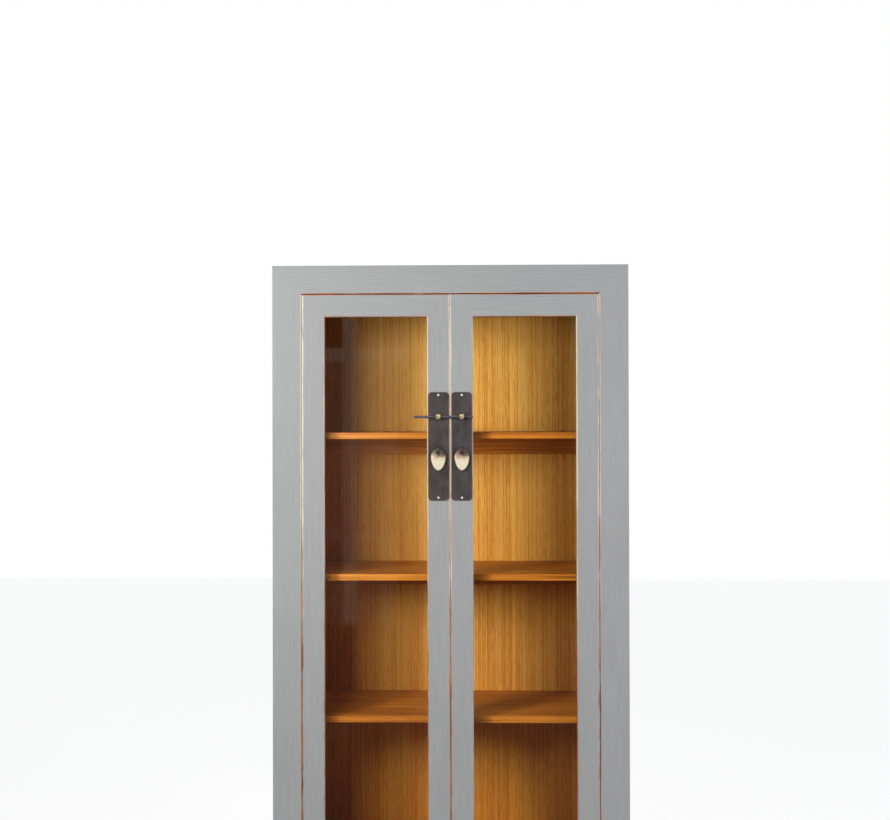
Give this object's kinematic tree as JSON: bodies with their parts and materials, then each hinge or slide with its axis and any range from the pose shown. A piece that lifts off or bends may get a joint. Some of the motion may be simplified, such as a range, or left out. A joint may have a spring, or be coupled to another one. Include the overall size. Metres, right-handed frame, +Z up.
{
  "type": "display cabinet",
  "caption": "Tall glazed display cabinet with a grey frame, wooden shelves and pivoted doors that a sliding pin locks, with teardrop pulls.",
  "frame": {"origin": "on the floor, under the middle of the box that holds the whole cabinet with its hardware", "axes": "+X to the right as seen facing the doors, +Y to the back, +Z up"},
  "size_m": [0.8, 0.3656, 1.8],
  "materials": {
    "grey_lacquer": "brushed grey lacquer, rubbed to a red-brown ground on its arrises",
    "honey_wood": "clear satin lacquer on straight-grained boards",
    "shelf_wood": "stained and lacquered, satin",
    "dark_bronze": "dark mottled bronze patina",
    "brass": "polished, darkened in its hollows",
    "dark_steel": "oiled and handled",
    "glass": "clear float glass"
  },
  "bodies": {
    "carcass": {"front_left_post": "grey_lacquer", "rear_left_post": "grey_lacquer", "front_right_post": "grey_lacquer", "rear_right_post": "grey_lacquer", "front_top_rail": "grey_lacquer", "rear_top_rail": "grey_lacquer", "left_top_rail": "grey_lacquer", "right_top_rail": "grey_lacquer", "front_bottom_rail": "grey_lacquer", "rear_bottom_rail": "grey_lacquer", "left_bottom_rail": "grey_lacquer", "right_bottom_rail": "grey_lacquer", "top_panel": "grey_lacquer", "floor_board": "shelf_wood", "left_side_panel": "grey_lacquer", "right_side_panel": "grey_lacquer", "back_panel": "honey_wood", "shelf_1": "shelf_wood", "shelf_2": "shelf_wood", "shelf_3": "shelf_wood", "shelf_4": "shelf_wood", "rear_shelf_rail_1": "shelf_wood", "rear_shelf_rail_2": "shelf_wood", "rear_shelf_rail_3": "shelf_wood", "rear_shelf_rail_4": "shelf_wood", "left_shelf_cleat_1": "shelf_wood", "right_shelf_cleat_1": "shelf_wood", "left_shelf_cleat_2": "shelf_wood", "right_shelf_cleat_2": "shelf_wood", "left_shelf_cleat_3": "shelf_wood", "right_shelf_cleat_3": "shelf_wood", "left_shelf_cleat_4": "shelf_wood", "right_shelf_cleat_4": "shelf_wood", "upper_door_stop": "shelf_wood"},
    "left_door": {"left_door_hinge_stile": "grey_lacquer", "left_door_meeting_stile": "grey_lacquer", "left_door_top_rail": "grey_lacquer", "left_door_bottom_rail": "grey_lacquer", "left_door_glass": "glass", "left_door_glazing_bead": "shelf_wood", "left_door_plate": "dark_bronze", "left_pin_eye": "brass", "left_pull_staple": "brass", "left_upper_plate_nail": "brass", "left_lower_plate_nail": "brass"},
    "right_door": {"right_door_hinge_stile": "grey_lacquer", "right_door_meeting_stile": "grey_lacquer", "right_door_top_rail": "grey_lacquer", "right_door_bottom_rail": "grey_lacquer", "right_door_glass": "glass", "right_door_glazing_bead": "shelf_wood", "right_door_plate": "dark_bronze", "right_pin_eye": "brass", "right_pull_staple": "brass", "right_upper_plate_nail": "brass", "right_lower_plate_nail": "brass"},
    "left_pull": {"left_pull": "brass"},
    "right_pull": {"right_pull": "brass"},
    "slide_pin": {"slide_pin": "dark_steel"}
  },
  "joints": [
    {"name": "left_door_hinge", "type": "hinge", "parent": "carcass", "child": "left_door", "pos_m": [-0.319, -0.15725, 0.135], "axis": [0, 0, -1], "range_deg": [0, 110]},
    {"name": "right_door_hinge", "type": "hinge", "parent": "carcass", "child": "right_door", "pos_m": [0.319, -0.15725, 0.135], "axis": [0, 0, 1], "range_deg": [0, 110]},
    {"name": "left_pull_hinge", "type": "hinge", "parent": "left_door", "child": "left_pull", "pos_m": [-0.0265, -0.17555, 1.3862], "axis": [-1, 0, 0], "range_deg": [0, 165]},
    {"name": "right_pull_hinge", "type": "hinge", "parent": "right_door", "child": "right_pull", "pos_m": [0.0265, -0.17555, 1.3862], "axis": [-1, 0, 0], "range_deg": [0, 165]},
    {"name": "pin_slide", "type": "slide", "parent": "left_door", "child": "slide_pin", "axis": [-1, 0, 0], "range_m": [0, 0.058]}
  ]
}
